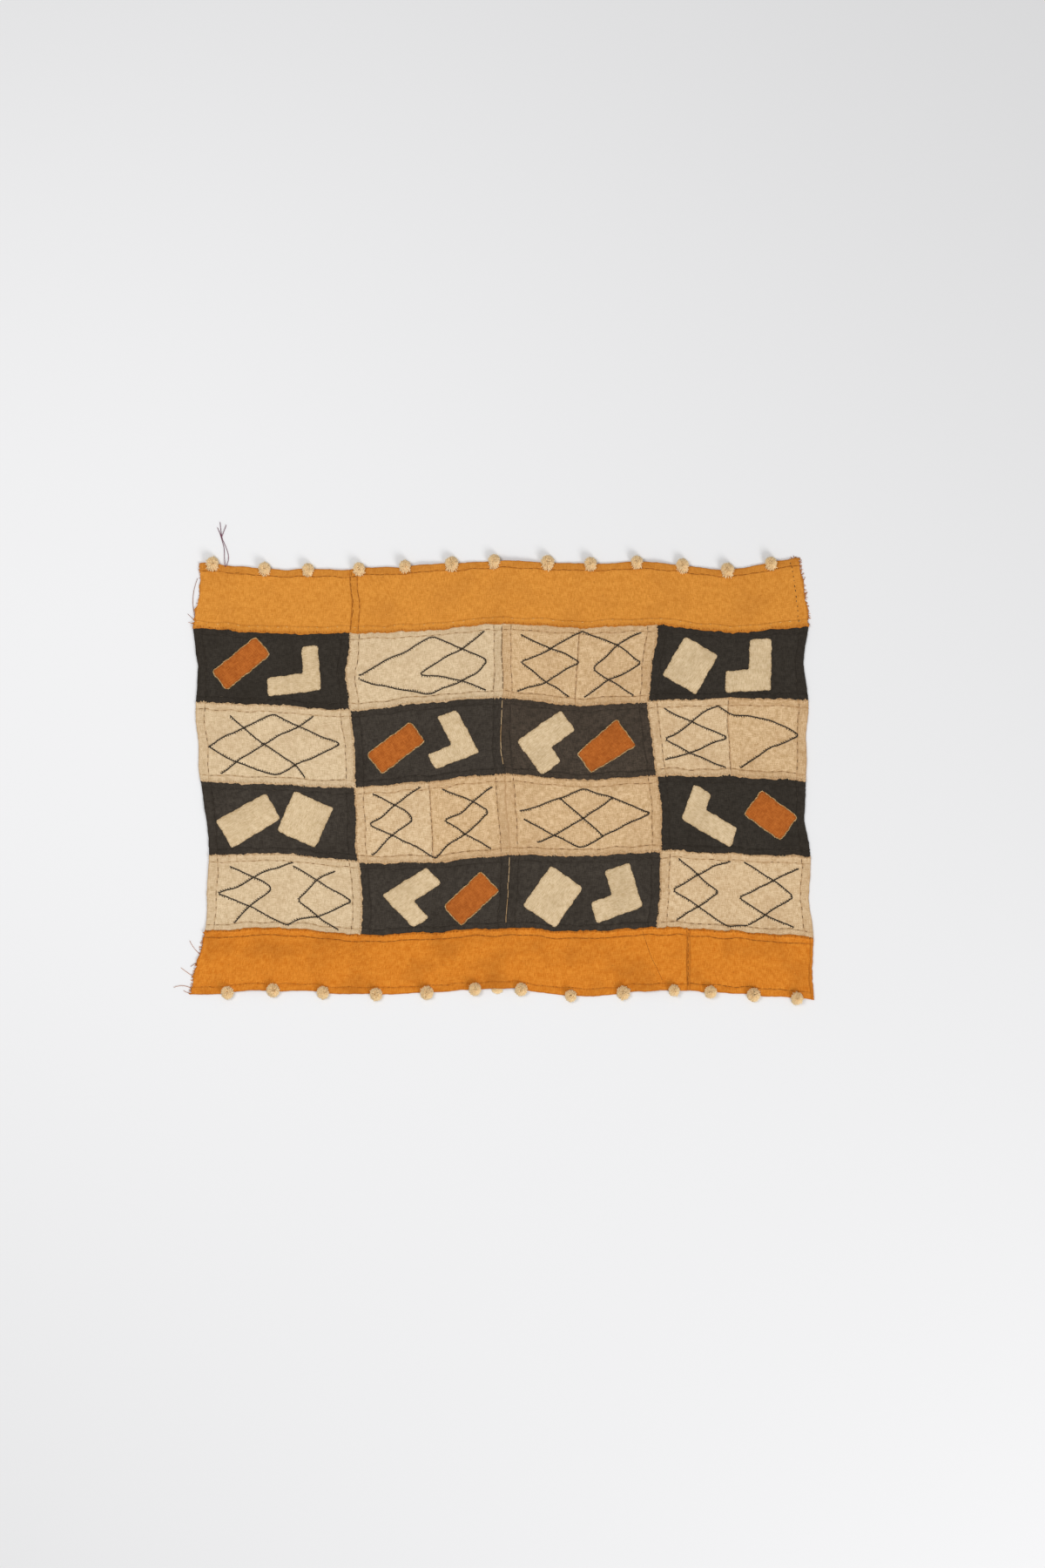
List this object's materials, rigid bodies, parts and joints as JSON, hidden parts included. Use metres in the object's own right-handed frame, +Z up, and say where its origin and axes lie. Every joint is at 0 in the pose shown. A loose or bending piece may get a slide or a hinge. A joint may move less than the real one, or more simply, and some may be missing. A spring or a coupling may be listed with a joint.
{
  "type": "kuba raffia cloth",
  "caption": "Flat patchwork cloth of hemmed woven raffia panels with sewn-on bars and elbows, ochre bands along two edges, pompom trim and frayed band ends.",
  "frame": {"origin": "under the middle of the whole cloth, threads and pompoms included, on the floor it lies on", "axes": "+X along the bands, +Y towards the upper band, +Z up from the floor, out of the cloth's face"},
  "size_m": [0.954, 0.7112, 0.015],
  "materials": {
    "straw_raffia": "undyed plain-woven raffia, slubby and matt",
    "rosy_raffia": "lightly dyed raffia with a rosy cast, slubby and matt",
    "pale_raffia": "bleached plain-woven raffia, slubby and matt",
    "charcoal_raffia": "raffia dyed charcoal, matt with brown wear",
    "ochre_raffia": "raffia dyed ochre, close plain weave with stains",
    "rust_patch": "raffia dyed rust, cut and sewn on",
    "straw_patch": "undyed raffia, cut and sewn on",
    "pompom_raffia": "tied tufts of undyed raffia fibre",
    "dark_thread": "black raffia embroidery thread",
    "pale_thread": "undyed raffia sewing thread",
    "plum_thread": "plum sewing thread"
  },
  "bodies": {
    "root": {"panel_r1_c1": "charcoal_raffia", "panel_r1_c2": "pale_raffia", "panel_r1_c3_left": "rosy_raffia", "panel_r1_c3_right": "rosy_raffia", "panel_r1_c4": "charcoal_raffia", "panel_r2_c1": "straw_raffia", "panel_r2_c2": "charcoal_raffia", "panel_r2_c3": "charcoal_raffia", "panel_r2_c4_left": "straw_raffia", "panel_r2_c4_right": "straw_raffia", "panel_r3_c1": "charcoal_raffia", "panel_r3_c2_left": "straw_raffia", "panel_r3_c2_right": "rosy_raffia", "panel_r3_c3": "rosy_raffia", "panel_r3_c4": "charcoal_raffia", "panel_r4_c1": "straw_raffia", "panel_r4_c2": "charcoal_raffia", "panel_r4_c3": "charcoal_raffia", "panel_r4_c4": "straw_raffia", "upper_band_left": "ochre_raffia", "upper_band_right": "ochre_raffia", "lower_band_left": "ochre_raffia", "lower_band_right": "ochre_raffia", "upper_left_frayed_end": "ochre_raffia", "upper_right_frayed_end": "ochre_raffia", "lower_left_frayed_end": "ochre_raffia", "upper_edge_with_pompoms": "pompom_raffia", "lower_edge_with_pompoms": "pompom_raffia", "patch_bar_r1_c1": "rust_patch", "patch_bar_r2_c2": "rust_patch", "patch_bar_r2_c3": "rust_patch", "patch_bar_r3_c4": "rust_patch", "patch_bar_r4_c2": "rust_patch", "patch_square_r1_c4": "straw_patch", "patch_bar_r3_c1": "straw_patch", "patch_square_r3_c1": "straw_patch", "patch_square_r4_c3": "straw_patch", "patch_elbow_r1_c1": "straw_patch", "patch_elbow_r1_c4": "straw_patch", "patch_elbow_r2_c2": "straw_patch", "patch_elbow_r2_c3": "straw_patch", "patch_elbow_r3_c4": "straw_patch", "patch_elbow_r4_c2": "straw_patch", "patch_elbow_r4_c3": "straw_patch"}
  },
  "joints": []
}
